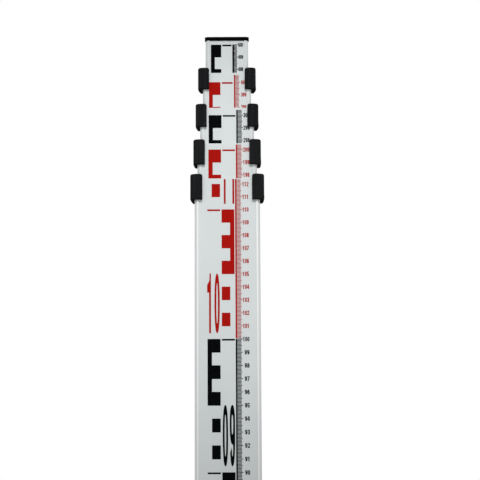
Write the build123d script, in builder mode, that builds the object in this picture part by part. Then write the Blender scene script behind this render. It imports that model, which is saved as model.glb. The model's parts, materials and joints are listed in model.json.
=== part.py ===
"""Telescopic leveling staff, closed: five nested aluminium sections locked by side catches.

Millimetres. +Z runs up the staff, the printed face looks towards -Y and +X is on its right.
The origin is the centre of the foot's underside, where the printed scale reads zero.
"""

import os
from dataclasses import dataclass

from build123d import *

# Scale: the staff reading at each section's upper end, from the lowest section up
SCALE_TOPS = (1124.5, 2005.0, 3006.0, 4007.7, 5003.4)
# Closed staff: how far each section's upper end stands above the end of the section below
STICK_OUTS = (28.2, 29.0, 28.9, 27.0)

# Extruded sections: the lowest one's size, walls and the gaps to the next one inside it
SECTION_WIDTH = 50.8
SECTION_DEPTH = 33.0
CORNER_ROUND = 2.5
SIDE_WALL = 1.3
SIDE_GAP = 0.8
FACE_WALL = 1.2
FACE_GAP = 0.4
RAIL_WIDTH = 3.2
RAIL_RISE = 0.5
RAIL_ROUND = 0.45
RAIL_ROUND_SHARE = 0.9
BORE_ROUND = 1.6

# Foot cap: a cup round the lowest section and a plug inside it
FOOT_BASE = 3.0
FOOT_CUP_HEIGHT = 13.0
FOOT_WALL = 0.9
FOOT_EDGE_ROUND = 0.6
FOOT_SCREW_HEIGHT = 8.0
FOOT_SCREW_SHANK = 2.9
FOOT_SCREW_HEAD = 5.4
FOOT_SCREW_HEAD_RISE = 1.1
FOOT_SCREW_SLOT = 0.8
FOOT_SCREW_SLOT_DEPTH = 0.6

# Guide shoes in the lower ends of the inner sections
SHOE_FLANGE = 4.0
SHOE_RUNNING_GAP = 0.3
LAST_SHOE_PLUG = 22.0
SHOE_RIVET_UP = 9.0
SHOE_RIVET_SHANK = 2.6
SHOE_RIVET_HEAD = 4.6
SHOE_RIVET_HEAD_RISE = 0.4
PLUG_WALL = 2.2
PLUG_FIT = 0.1
FASTENER_FIT = 0.05

# Top cap on the innermost section
CAP_THICKNESS = 3.1
CAP_SIDE_OVERHANG = 0.65
CAP_EDGE_ROUND = 0.3
CAP_PLUG_LENGTH = 16.0

# Side clip housings, one value for each of the four outer sections where they differ
CLIP_HEIGHTS = (20.3, 20.0, 18.5, 17.45)
CLIP_REACHES = (6.1, 5.95, 5.2, 5.0)
CLIP_STAND_OFFS = (3.3, 3.1, 3.5, 3.75)
CLIP_RISES = (3.5, 3.1, 3.05, 3.9)
CLIP_CROWN_DROP_IN = 0.3
CLIP_CROWN_DROP_OUT = 0.5
CLIP_LIP = 1.8
CLIP_FIT = 0.1
CLIP_CORNER_ROUND = 1.7
CLIP_EDGE_ROUND = 0.9
CLIP_FRONT_CHEEK = 4.2
CLIP_BACK_CHEEK = 1.2
CLIP_BACK_TIP = 0.8
CLIP_WINDOW_BACK_SHARE = 0.3
CLIP_TOP_BRIDGE = 0.7
CLIP_FOOT_BRIDGE = 1.6
CLIP_FOOT_SLOPE = 0.025
CLIP_HEEL_SLOPE = 0.32
CLIP_HEEL_BACKS = (10.0, 5.2, 4.8, 4.6)
CLIP_CORNER_CUT_FRONT = 2.5
CLIP_CORNER_CUT_TIP = 1.6
CLIP_CORNER_CUT_ANGLE = 45.0
CLIP_UPPER_RIVET_DROP = 2.0
CLIP_LOWER_RIVET_DROP = 10.6
CLIP_RIVET_SHANK = 2.0
CLIP_RIVET_HEAD = 3.2
CLIP_RIVET_HEAD_RISE = 0.5

# Rockers: a locking tooth above the pivot pin and a finger pad below it
PIVOT_DROP = 5.0
PIVOT_OUT = 1.6
PIN_DIAMETER = 1.6
PIN_RUNNING_GAP = 0.04
PIN_PRESS_GAP = 0.02
PIN_FRONT_COVER = 1.2
PIN_BACK_GRIP = 2.0
ROCKER_BOSS = 2.5
ROCKER_SIDE_GAP = 0.25
ROCKER_END_GAP = 0.6
ROCKER_ARM_OUT = 2.4
ROCKER_PAD_FOOT_RISE = 0.35
ROCKER_PAD_IN = 1.75
ROCKER_PAD_ROUND = 0.35
ROCKER_PAD_SLOPE = 1.0
PAD_GROOVES = 3
PAD_GROOVE_PITCH = 1.6
PAD_GROOVE_DEPTH = 0.35
PAD_GROOVE_WIDTH = 0.7
PAD_GROOVE_MARGIN = 1.2
TOOTH_BOTTOM = 0.35
TOOTH_HEIGHT = 1.5
TOOTH_CHAMFER = 0.5
TOOTH_INSET = 1.2
TOOTH_GAP = 0.3
LOCK_HOLE_MARGIN = 0.4

# Leaf springs behind the finger pads
SPRING_THICKNESS = 0.25
SPRING_GAP = 0.12
SPRING_SIDE_MARGIN = 1.0

SIDE_STEP = SIDE_WALL + SIDE_GAP
FACE_STEP = RAIL_RISE + FACE_WALL + FACE_GAP
TUBE_LENGTH = SCALE_TOPS[0] - FOOT_BASE


@dataclass
class Section:
    """Sizes and heights of one section of the closed staff."""

    number: int
    half_width: float
    half_depth: float
    top: float

    @property
    def bottom(self):
        return self.top - TUBE_LENGTH

    @property
    def bore_half_width(self):
        return self.half_width - SIDE_WALL

    @property
    def bore_half_depth(self):
        return self.half_depth - RAIL_RISE - FACE_WALL

    @property
    def flat_half_depth(self):
        return self.half_depth - CORNER_ROUND

    @property
    def travel(self):
        """How far the section draws out, so that its scale carries on from the one below."""
        scale_length = SCALE_TOPS[self.number - 1] - SCALE_TOPS[self.number - 2]
        return scale_length - STICK_OUTS[self.number - 2]

    @property
    def plug_top(self):
        """Upper end of the plug in this section, where the next section's shoe stands."""
        if self.number == len(SCALE_TOPS):
            return self.bottom + LAST_SHOE_PLUG
        return self.bottom + STICK_OUTS[self.number - 1] - SHOE_FLANGE

    @property
    def shoe_rivet_height(self):
        return self.bottom + SHOE_RIVET_UP


@dataclass
class Clip:
    """Sizes and heights of the side clips at one section's upper end."""

    section: Section
    height: float
    reach: float
    stand_off: float
    rise: float
    heel_y: float

    @property
    def top(self):
        return self.section.top + self.rise

    @property
    def bottom(self):
        return self.top - self.height

    @property
    def outer_x(self):
        return self.section.half_width + self.stand_off

    @property
    def inner_x(self):
        return self.section.half_width - self.reach

    @property
    def half_depth(self):
        return self.section.half_depth + CLIP_FIT + CLIP_LIP

    @property
    def back_y(self):
        """Back end of the housing, where the section's side stops being flat."""
        return self.section.flat_half_depth

    @property
    def window_front_y(self):
        return CLIP_FRONT_CHEEK - self.section.flat_half_depth

    @property
    def window_back_y(self):
        return CLIP_WINDOW_BACK_SHARE * self.section.flat_half_depth

    @property
    def window_y(self):
        """Middle of the rocker's window, towards the front of the section's side."""
        return (self.window_front_y + self.window_back_y) / 2

    @property
    def window_half_depth(self):
        return (self.window_back_y - self.window_front_y) / 2

    @property
    def window_top(self):
        return self.top - CLIP_TOP_BRIDGE

    @property
    def window_bottom(self):
        return self.bottom + CLIP_FOOT_BRIDGE

    @property
    def rivet_y(self):
        return self.window_front_y - CLIP_FRONT_CHEEK / 2

    @property
    def rivet_heights(self):
        return (self.section.top - CLIP_LOWER_RIVET_DROP, self.section.top - CLIP_UPPER_RIVET_DROP)

    @property
    def rocker_plane(self):
        """Front-view plane through the middle of the rocker."""
        return Plane.XZ.offset(-self.window_y)

    @property
    def corner_cut(self):
        """Plane that takes off the foot's outer corner, from the lip to the heel."""
        front = Vector(self.outer_x, CLIP_CORNER_CUT_FRONT - self.half_depth, self.bottom)
        heel = Vector(self.section.half_width + CLIP_CORNER_CUT_TIP, self.heel_y, self.bottom)
        along = (heel - front).normalized()
        level = along.cross(Vector(0, 0, 1))
        outward = level.rotate(Axis((0, 0, 0), along), CLIP_CORNER_CUT_ANGLE)
        return Plane(origin=front, x_dir=along, z_dir=outward)

    @property
    def pivot_x(self):
        return self.section.half_width + PIVOT_OUT

    @property
    def pivot_z(self):
        return self.section.top - PIVOT_DROP

    @property
    def pad_bottom(self):
        return self.window_bottom + ROCKER_END_GAP

    @property
    def rocker_half_depth(self):
        return self.window_half_depth - ROCKER_SIDE_GAP

    @property
    def tooth_half_depth(self):
        return self.rocker_half_depth - TOOTH_INSET

    @property
    def tooth_bottom(self):
        return self.section.top + TOOTH_BOTTOM

    @property
    def tooth_top(self):
        return self.tooth_bottom + TOOTH_HEIGHT


def closed_top(index):
    """Height of a section's upper end in the closed staff."""
    return SCALE_TOPS[0] + sum(STICK_OUTS[:index])


sections = [
    Section(
        number=index + 1,
        half_width=SECTION_WIDTH / 2 - index * SIDE_STEP,
        half_depth=SECTION_DEPTH / 2 - index * FACE_STEP,
        top=closed_top(index),
    )
    for index in range(len(SCALE_TOPS))
]
clips = [
    Clip(section=section, height=height, reach=reach, stand_off=stand_off, rise=rise, heel_y=heel_y)
    for section, height, reach, stand_off, rise, heel_y in zip(
        sections, CLIP_HEIGHTS, CLIP_REACHES, CLIP_STAND_OFFS, CLIP_RISES, CLIP_HEEL_BACKS
    )
]


def save(part, name):
    """Label a finished piece and write it as one file of that name."""
    part.label = name
    export_step(part, f"parts/{name}.step")


def cut_through_sides(height, diameter, y=0.0):
    """Drill the same round hole through both side walls of the tube being made."""
    with BuildSketch(Plane.YZ) as hole:
        with Locations((y, height)):
            Circle(diameter / 2)
    extrude(hole.sketch, amount=SECTION_WIDTH, both=True, mode=Mode.SUBTRACT)


def build_section(section):
    """One extruded tube: rails at its edges, recessed faces, and its holes."""
    half_width = section.half_width
    half_depth = section.half_depth
    with BuildPart() as tube:
        with BuildSketch(Plane.XY.offset(section.bottom)) as profile:
            RectangleRounded(2 * half_width, 2 * half_depth, CORNER_ROUND)
            with GridLocations(0, 2 * half_depth, 1, 2):
                Rectangle(2 * (half_width - RAIL_WIDTH), 2 * RAIL_RISE, mode=Mode.SUBTRACT)
            rail_edges = profile.vertices().filter_by(
                lambda corner: abs(abs(corner.X) - half_width + RAIL_WIDTH) < RAIL_ROUND / 10
                and abs(abs(corner.Y) - half_depth) < RAIL_ROUND / 10
            )
            rail_crown = RAIL_WIDTH - CORNER_ROUND
            fillet(rail_edges, min(RAIL_ROUND, RAIL_ROUND_SHARE * rail_crown))
            RectangleRounded(
                2 * section.bore_half_width, 2 * section.bore_half_depth, BORE_ROUND, mode=Mode.SUBTRACT
            )
        extrude(amount=TUBE_LENGTH)
        if section.number == 1:
            cut_through_sides(FOOT_SCREW_HEIGHT, FOOT_SCREW_SHANK + 2 * FASTENER_FIT)
        else:
            cut_through_sides(section.shoe_rivet_height, SHOE_RIVET_SHANK + 2 * FASTENER_FIT)
            lock = clips[section.number - 2]
            with BuildSketch(Plane.YZ):
                lock_height = (lock.tooth_bottom + lock.tooth_top) / 2 - section.travel
                with Locations((lock.window_y, lock_height)):
                    Rectangle(
                        2 * (lock.tooth_half_depth + LOCK_HOLE_MARGIN), TOOTH_HEIGHT + 2 * LOCK_HOLE_MARGIN
                    )
            extrude(amount=SECTION_WIDTH, both=True, mode=Mode.SUBTRACT)
        if section.number <= len(clips):
            clip = clips[section.number - 1]
            for rivet_height in clip.rivet_heights:
                cut_through_sides(rivet_height, CLIP_RIVET_SHANK + 2 * FASTENER_FIT, clip.rivet_y)
    return tube.part


def add_plug(section, floor_height):
    """Hollow plug that fills a section's bore from a floor up to where the next shoe stands."""
    half_width = section.bore_half_width - PLUG_FIT
    half_depth = section.bore_half_depth - PLUG_FIT
    height = section.plug_top - floor_height
    with BuildSketch(Plane.XY.offset(floor_height)) as plug:
        RectangleRounded(2 * half_width, 2 * half_depth, BORE_ROUND - PLUG_FIT)
        pocket_width = (2 * half_width - 3 * PLUG_WALL) / 2
        with GridLocations(pocket_width + PLUG_WALL, 0, 2, 1):
            Rectangle(pocket_width, 2 * (half_depth - PLUG_WALL), mode=Mode.SUBTRACT)
    extrude(plug.sketch, amount=height)


def build_foot_cap(section):
    """Black foot: a base, a cup round the tube and a plug inside it."""
    inner_width = section.half_width + PLUG_FIT
    inner_depth = section.half_depth + PLUG_FIT
    inner_round = CORNER_ROUND + PLUG_FIT
    with BuildPart() as foot:
        with BuildSketch():
            RectangleRounded(
                2 * (inner_width + FOOT_WALL), 2 * (inner_depth + FOOT_WALL), inner_round + FOOT_WALL
            )
        extrude(amount=FOOT_CUP_HEIGHT)
        rims = foot.faces().sort_by(Axis.Z)
        fillet(rims[0].edges() + rims[-1].edges(), FOOT_EDGE_ROUND)
        with BuildSketch(Plane.XY.offset(FOOT_BASE)):
            RectangleRounded(2 * inner_width, 2 * inner_depth, inner_round)
        extrude(amount=FOOT_CUP_HEIGHT, mode=Mode.SUBTRACT)
        add_plug(section, FOOT_BASE)
        cut_through_sides(FOOT_SCREW_HEIGHT, FOOT_SCREW_SHANK + 2 * FASTENER_FIT)
    return foot.part


def build_foot_screws(section):
    """One slotted screw in each side of the foot, through the cup and the tube into the plug."""
    head_seat = section.half_width + PLUG_FIT + FOOT_WALL
    tip = section.bore_half_width - PLUG_FIT - PLUG_WALL
    with BuildPart() as screws:
        with BuildSketch(Plane.YZ.offset(tip)):
            with Locations((0, FOOT_SCREW_HEIGHT)):
                Circle(FOOT_SCREW_SHANK / 2)
        extrude(amount=head_seat - tip)
        with BuildSketch(Plane.YZ.offset(head_seat)):
            with Locations((0, FOOT_SCREW_HEIGHT)):
                Circle(FOOT_SCREW_HEAD / 2)
        extrude(amount=FOOT_SCREW_HEAD_RISE)
        with BuildSketch(Plane.YZ.offset(head_seat + FOOT_SCREW_HEAD_RISE)):
            with Locations((0, FOOT_SCREW_HEIGHT)):
                Rectangle(FOOT_SCREW_HEAD, FOOT_SCREW_SLOT)
        extrude(amount=-FOOT_SCREW_SLOT_DEPTH, mode=Mode.SUBTRACT)
        mirror(about=Plane.YZ)
    return screws.part


def build_guide_shoe(section, outer):
    """Shoe in the lower end of an inner section: a running flange under a hollow plug."""
    with BuildPart() as shoe:
        with BuildSketch(Plane.XY.offset(section.bottom - SHOE_FLANGE)):
            RectangleRounded(
                2 * (outer.bore_half_width - SHOE_RUNNING_GAP),
                2 * (outer.bore_half_depth - SHOE_RUNNING_GAP),
                BORE_ROUND - SHOE_RUNNING_GAP,
            )
        extrude(amount=SHOE_FLANGE)
        add_plug(section, section.bottom)
        cut_through_sides(section.shoe_rivet_height, SHOE_RIVET_SHANK + 2 * FASTENER_FIT)
    return shoe.part


def build_shoe_rivets(section):
    """One flat-headed rivet in each side of a section, through its wall into the shoe."""
    tip = section.bore_half_width - PLUG_FIT - PLUG_WALL
    with BuildPart() as rivets:
        with BuildSketch(Plane.YZ.offset(tip)):
            with Locations((0, section.shoe_rivet_height)):
                Circle(SHOE_RIVET_SHANK / 2)
        extrude(amount=section.half_width - tip)
        with BuildSketch(Plane.YZ.offset(section.half_width)):
            with Locations((0, section.shoe_rivet_height)):
                Circle(SHOE_RIVET_HEAD / 2)
        extrude(amount=SHOE_RIVET_HEAD_RISE)
        mirror(about=Plane.YZ)
    return rivets.part


def build_top_cap(section):
    """Black cap that closes the innermost section, with its plug."""
    with BuildPart() as cap:
        with BuildSketch(Plane.XY.offset(section.top)):
            RectangleRounded(
                2 * (section.half_width + CAP_SIDE_OVERHANG), 2 * section.half_depth, CORNER_ROUND
            )
        extrude(amount=CAP_THICKNESS)
        fillet(cap.faces().sort_by(Axis.Z)[-1].edges(), CAP_EDGE_ROUND)
        half_width = section.bore_half_width - PLUG_FIT
        half_depth = section.bore_half_depth - PLUG_FIT
        with BuildSketch(Plane.XY.offset(section.top)):
            RectangleRounded(2 * half_width, 2 * half_depth, BORE_ROUND - PLUG_FIT)
            Rectangle(2 * (half_width - PLUG_WALL), 2 * (half_depth - PLUG_WALL), mode=Mode.SUBTRACT)
        extrude(amount=-CAP_PLUG_LENGTH)
    return cap.part


def build_clip_housing(clip):
    """Right-hand housing: an arched top, a lip over the face, the rocker's window, a tapered back."""
    section = clip.section
    depth = clip.half_depth + clip.back_y
    with BuildPart() as housing:
        with BuildSketch(Plane.XZ.offset(clip.half_depth)) as front_view:
            with BuildLine():
                crown = ThreePointArc(
                    (clip.outer_x, clip.top - CLIP_CROWN_DROP_OUT),
                    (section.bore_half_width, clip.top),
                    (clip.inner_x, clip.top - CLIP_CROWN_DROP_IN),
                )
                Polyline(crown @ 1, (clip.inner_x, clip.bottom), (clip.outer_x, clip.bottom), crown @ 0)
            make_face()
            fillet(front_view.vertices().sort_by(Axis.Y)[-2:], CLIP_CORNER_ROUND)
        extrude(amount=-depth)
        fillet(housing.faces().sort_by(Axis.Y)[0].edges(), CLIP_EDGE_ROUND)
        with BuildSketch(Plane.XY.offset(clip.bottom)):
            RectangleRounded(
                2 * (section.half_width + CLIP_FIT),
                2 * (section.half_depth + CLIP_FIT),
                CORNER_ROUND + CLIP_FIT,
            )
        extrude(amount=section.top - clip.bottom, mode=Mode.SUBTRACT)
        with BuildSketch(Plane.XY.offset(section.top)):
            Rectangle(2 * section.bore_half_width, 2 * (section.half_depth + CLIP_FIT))
        extrude(amount=2 * clip.rise, mode=Mode.SUBTRACT)
        with BuildSketch(Plane.XY.offset(clip.bottom)):
            with BuildLine():
                Polyline(
                    (clip.outer_x, clip.window_back_y + CLIP_BACK_CHEEK),
                    (clip.outer_x, clip.back_y),
                    (section.half_width + CLIP_BACK_TIP, clip.back_y),
                    close=True,
                )
            make_face()
        extrude(amount=clip.height, mode=Mode.SUBTRACT)
        heel_z = clip.bottom + CLIP_FOOT_SLOPE * (clip.heel_y + clip.half_depth)
        with BuildSketch(Plane.YZ.offset(clip.inner_x)):
            with BuildLine():
                Polyline(
                    (-clip.half_depth, clip.bottom),
                    (clip.back_y, clip.bottom),
                    (clip.back_y, heel_z + CLIP_HEEL_SLOPE * (clip.back_y - clip.heel_y)),
                    (clip.heel_y, heel_z),
                    close=True,
                )
            make_face()
        extrude(amount=clip.outer_x - clip.inner_x, mode=Mode.SUBTRACT)
        with BuildSketch(clip.corner_cut):
            Rectangle(4 * depth, 4 * depth)
        extrude(amount=depth, mode=Mode.SUBTRACT)
        with BuildSketch(Plane.YZ.offset(section.bore_half_width)):
            with Locations((clip.window_y, (clip.window_top + clip.window_bottom) / 2)):
                Rectangle(2 * clip.window_half_depth, clip.window_top - clip.window_bottom)
        extrude(amount=SIDE_WALL + clip.stand_off, mode=Mode.SUBTRACT)
        with BuildSketch(Plane.XZ.offset(clip.half_depth - PIN_FRONT_COVER)):
            with Locations((clip.pivot_x, clip.pivot_z)):
                Circle(PIN_DIAMETER / 2 + PIN_PRESS_GAP)
        extrude(amount=-2 * clip.half_depth, mode=Mode.SUBTRACT)
        rivet_face = Plane.YZ.offset(clip.outer_x)
        with Locations(rivet_face):
            with Locations([(clip.rivet_y, rivet_height) for rivet_height in clip.rivet_heights]):
                CounterBoreHole(
                    radius=CLIP_RIVET_SHANK / 2 + FASTENER_FIT,
                    counter_bore_radius=CLIP_RIVET_HEAD / 2 + FASTENER_FIT,
                    counter_bore_depth=CLIP_RIVET_HEAD_RISE,
                    depth=clip.stand_off + SIDE_WALL,
                )
    return housing.part


def build_rocker(clip):
    """Right-hand rocker: tooth over the section's end, boss on the pin, grooved finger pad."""
    section = clip.section
    side = section.half_width
    arm_inside = clip.pivot_x - ROCKER_BOSS / 2
    arm_outside = side + ROCKER_ARM_OUT
    pad_inside = side + ROCKER_PAD_IN
    arm_foot = clip.pivot_z + ROCKER_BOSS / 2
    pad_top = arm_foot - ROCKER_PAD_SLOPE
    pad_lean = ROCKER_PAD_FOOT_RISE / (pad_top - clip.pad_bottom)
    with BuildPart() as rocker:
        with BuildSketch(clip.rocker_plane):
            with BuildLine():
                Polyline(
                    (arm_inside, clip.tooth_top),
                    (arm_outside, clip.tooth_top),
                    (arm_outside, arm_foot),
                    (clip.outer_x, pad_top),
                    (clip.outer_x + ROCKER_PAD_FOOT_RISE, clip.pad_bottom),
                    (pad_inside, clip.pad_bottom),
                    (pad_inside, clip.pivot_z),
                    (arm_inside, clip.pivot_z),
                    close=True,
                )
            make_face()
            with Locations((clip.pivot_x, clip.pivot_z)):
                Circle(ROCKER_BOSS / 2)
        extrude(amount=clip.rocker_half_depth, both=True)
        pad_foot = rocker.edges().filter_by(Axis.Y).sort_by(Axis.Z)[:2].sort_by(Axis.X)[-1]
        fillet(pad_foot, ROCKER_PAD_ROUND)
        tooth_tip = side - SIDE_STEP + TOOTH_GAP
        with BuildSketch(clip.rocker_plane):
            with BuildLine():
                Polyline(
                    (tooth_tip, clip.tooth_bottom),
                    (arm_outside, clip.tooth_bottom),
                    (arm_outside, clip.tooth_top),
                    (tooth_tip + TOOTH_CHAMFER, clip.tooth_top),
                    (tooth_tip, clip.tooth_top - TOOTH_CHAMFER),
                    close=True,
                )
            make_face()
        extrude(amount=clip.tooth_half_depth, both=True)
        lowest_groove = PAD_GROOVE_MARGIN + PAD_GROOVE_WIDTH / 2
        with BuildSketch(clip.rocker_plane):
            for groove in range(PAD_GROOVES):
                rise = lowest_groove + groove * PAD_GROOVE_PITCH
                pad_outside = clip.outer_x + ROCKER_PAD_FOOT_RISE - rise * pad_lean
                with Locations((pad_outside, clip.pad_bottom + rise)):
                    Rectangle(2 * PAD_GROOVE_DEPTH, PAD_GROOVE_WIDTH)
        extrude(amount=clip.rocker_half_depth, both=True, mode=Mode.SUBTRACT)
        with BuildSketch(Plane.XZ):
            with Locations((clip.pivot_x, clip.pivot_z)):
                Circle(PIN_DIAMETER / 2 + PIN_RUNNING_GAP)
        extrude(amount=clip.half_depth, both=True, mode=Mode.SUBTRACT)
    return rocker.part


def build_pivot_pin(clip):
    """Right-hand steel pin, pressed into both cheeks of the housing from the back."""
    with BuildPart() as pin:
        with BuildSketch(Plane.XZ.offset(clip.half_depth - PIN_FRONT_COVER)):
            with Locations((clip.pivot_x, clip.pivot_z)):
                Circle(PIN_DIAMETER / 2)
        extrude(amount=-(clip.half_depth - PIN_FRONT_COVER + clip.window_back_y + PIN_BACK_GRIP))
    return pin.part


def build_leaf_spring(clip):
    """Right-hand bowed leaf between the section's side and the rocker's finger pad."""
    side = clip.section.half_width
    foot = side + SPRING_GAP + SPRING_THICKNESS / 2
    crown = side + ROCKER_PAD_IN - SPRING_GAP - SPRING_THICKNESS / 2
    lower_end = clip.pad_bottom
    upper_end = clip.pivot_z - ROCKER_BOSS / 2 - SPRING_GAP
    with BuildPart() as spring:
        with BuildSketch(clip.rocker_plane):
            with BuildLine():
                ThreePointArc((foot, lower_end), (crown, (lower_end + upper_end) / 2), (foot, upper_end))
            trace(line_width=SPRING_THICKNESS)
        extrude(amount=clip.rocker_half_depth - SPRING_SIDE_MARGIN, both=True)
    return spring.part


def build_clip_rivets(clip):
    """Four rivets, two through each housing into the section's side wall."""
    section = clip.section
    head_seat = clip.outer_x - CLIP_RIVET_HEAD_RISE
    with BuildPart() as rivets:
        for rivet_height in clip.rivet_heights:
            with BuildSketch(Plane.YZ.offset(section.bore_half_width)):
                with Locations((clip.rivet_y, rivet_height)):
                    Circle(CLIP_RIVET_SHANK / 2)
            extrude(amount=head_seat - section.bore_half_width)
            with BuildSketch(Plane.YZ.offset(head_seat)):
                with Locations((clip.rivet_y, rivet_height)):
                    Circle(CLIP_RIVET_HEAD / 2)
            extrude(amount=CLIP_RIVET_HEAD_RISE)
        mirror(about=Plane.YZ)
    return rivets.part


def save_pair(part, name):
    """Write a right-hand piece and its left-hand mirror image."""
    save(part, f"{name}_right")
    with BuildPart() as left:
        mirror(part, about=Plane.YZ)
    save(left.part, f"{name}_left")


os.makedirs("parts", exist_ok=True)

for section in sections:
    save(build_section(section), f"section_{section.number}")

save(build_foot_cap(sections[0]), "foot_cap")
save(build_foot_screws(sections[0]), "foot_screws")
save(build_top_cap(sections[-1]), "top_cap")

for outer, section in zip(sections, sections[1:]):
    save(build_guide_shoe(section, outer), f"guide_shoe_{section.number}")
    save(build_shoe_rivets(section), f"shoe_rivets_{section.number}")

for clip in clips:
    number = clip.section.number
    save_pair(build_clip_housing(clip), f"clip_housing_{number}")
    save_pair(build_rocker(clip), f"rocker_{number}")
    save_pair(build_pivot_pin(clip), f"pivot_pin_{number}")
    save_pair(build_leaf_spring(clip), f"leaf_spring_{number}")
    save(build_clip_rivets(clip), f"clip_rivets_{number}")

for section in sections[1:]:
    print(f"section {section.number} travel {section.travel:.1f} mm")
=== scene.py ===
"""Dresses the telescopic leveling staff: lacquered sections, printed scale, moulded catches and caps."""

import json
import logging
import math
from collections.abc import Callable, Iterable, Mapping
from dataclasses import dataclass
from enum import Enum
from typing import Any

import bmesh
import bpy
from mathutils import Matrix, Vector

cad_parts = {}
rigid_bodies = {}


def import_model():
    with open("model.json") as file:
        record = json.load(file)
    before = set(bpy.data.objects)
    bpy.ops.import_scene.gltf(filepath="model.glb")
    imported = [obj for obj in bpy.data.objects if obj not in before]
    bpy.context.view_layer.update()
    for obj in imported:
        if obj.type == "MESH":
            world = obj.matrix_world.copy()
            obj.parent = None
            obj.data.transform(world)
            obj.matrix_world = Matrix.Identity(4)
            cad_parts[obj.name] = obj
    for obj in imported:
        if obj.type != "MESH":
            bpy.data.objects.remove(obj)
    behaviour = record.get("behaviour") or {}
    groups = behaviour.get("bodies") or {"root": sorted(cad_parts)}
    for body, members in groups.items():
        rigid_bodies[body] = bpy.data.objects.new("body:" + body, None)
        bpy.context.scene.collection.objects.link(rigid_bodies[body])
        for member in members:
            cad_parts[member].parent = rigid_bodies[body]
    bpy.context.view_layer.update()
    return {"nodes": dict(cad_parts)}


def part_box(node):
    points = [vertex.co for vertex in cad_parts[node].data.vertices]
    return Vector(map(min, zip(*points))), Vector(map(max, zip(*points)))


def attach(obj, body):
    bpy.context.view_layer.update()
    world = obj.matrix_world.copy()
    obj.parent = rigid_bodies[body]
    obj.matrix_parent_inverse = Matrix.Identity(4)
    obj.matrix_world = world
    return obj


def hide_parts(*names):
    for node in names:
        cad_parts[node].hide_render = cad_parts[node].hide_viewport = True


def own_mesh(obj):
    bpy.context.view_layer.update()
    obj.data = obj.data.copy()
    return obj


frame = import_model()

log = logging.getLogger("leveling_staff")

MM = 0.001
CM = 0.01
DECIMETRE = 0.1
WELD = 0.001 * MM
SHARP = math.radians(30)
SECTIONS = (1, 2, 3, 4, 5)
CATCH_SECTIONS = (1, 2, 3, 4)
# Readings at the sections' upper ends, in millimetres
SCALE_TOPS = (1124.5, 2005.0, 3006.0, 4007.7, 5003.4)
# How strongly the crowns of each section's rails get a painted highlight: lighter lacquer that stands in for
# the lamp's glint on the rounded rails
CROWN_HIGHLIGHT_SHARES = (1.0, 0.3, 0.3, 0.2, 0.1)

Pair = tuple[float, float]
Triple = tuple[float, float, float]
Colour = Triple
Loop = list[Pair]
Piece = bpy.types.Object
Material = bpy.types.Material


def maths(operation: str, swapped: bool = False) -> Callable[..., "Flow"]:
    """Makes a method that adds one Math node.

    Args:
        operation: The node's operation.
        swapped: True where the flow is the second value.

    Returns:
        The method.
    """

    def method(flow: "Flow", other: Any = 0.0) -> "Flow":
        """Adds the node to the flow's tree."""
        first, second = (other, flow) if swapped else (flow, other)
        return flow.bench.add("ShaderNodeMath", {"operation": operation}, {0: first, 1: second})

    return method


@dataclass(eq=False)
class Flow:
    """A node's output that can stand in a Python expression, where a comparison gives 1 or 0."""

    bench: "NodeBench"
    socket: bpy.types.NodeSocket

    __add__ = maths("ADD")
    __radd__ = maths("ADD", swapped=True)
    __sub__ = maths("SUBTRACT")
    __rsub__ = maths("SUBTRACT", swapped=True)
    __mul__ = maths("MULTIPLY")
    __truediv__ = maths("DIVIDE")
    __mod__ = maths("FLOORED_MODULO")
    __gt__ = maths("GREATER_THAN")
    __lt__ = maths("LESS_THAN")
    __abs__ = maths("ABSOLUTE")
    __floor__ = maths("FLOOR")
    at_least = maths("MAXIMUM")
    root = maths("SQRT")


class NodeBench:
    """Builds one node tree."""

    def __init__(self, tree: bpy.types.NodeTree) -> None:
        """Keeps the tree that the nodes go into."""
        self.tree = tree

    def add(
        self,
        kind: str,
        settings: Mapping[str, Any] | None = None,
        inputs: Mapping[int | str, Any] | None = None,
        output: int | str = 0,
    ) -> Flow:
        """Adds a node, sets it and feeds its sockets.

        Args:
            kind: The node's type.
            settings: The node's own settings, set before its sockets.
            inputs: Values, flows or lists of flows by socket name or place.
            output: The output to hand back.

        Returns:
            That output.
        """
        node = self.tree.nodes.new(kind)
        for name, value in (settings or {}).items():
            setattr(node, name, value)
        for name, value in (inputs or {}).items():
            self.feed(node.inputs[name], value)
        return Flow(self, node.outputs[output]) if len(node.outputs) else Flow(self, node.inputs[0])

    def feed(self, socket: bpy.types.NodeSocket, value: Any) -> None:
        """Links a flow, or each flow of a list, to a socket, or sets its value.

        Args:
            socket: The input to feed.
            value: A flow, a list of flows or a plain value.
        """
        if isinstance(value, Flow):
            self.tree.links.new(value.socket, socket)
        elif isinstance(value, list):
            for flow in value:
                self.tree.links.new(flow.socket, socket)
        else:
            socket.default_value = value

    def vector(self, x: Any, y: Any, z: Any) -> Flow:
        """Three numbers or flows as one vector."""
        return self.add("ShaderNodeCombineXYZ", inputs={0: x, 1: y, 2: z})


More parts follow.
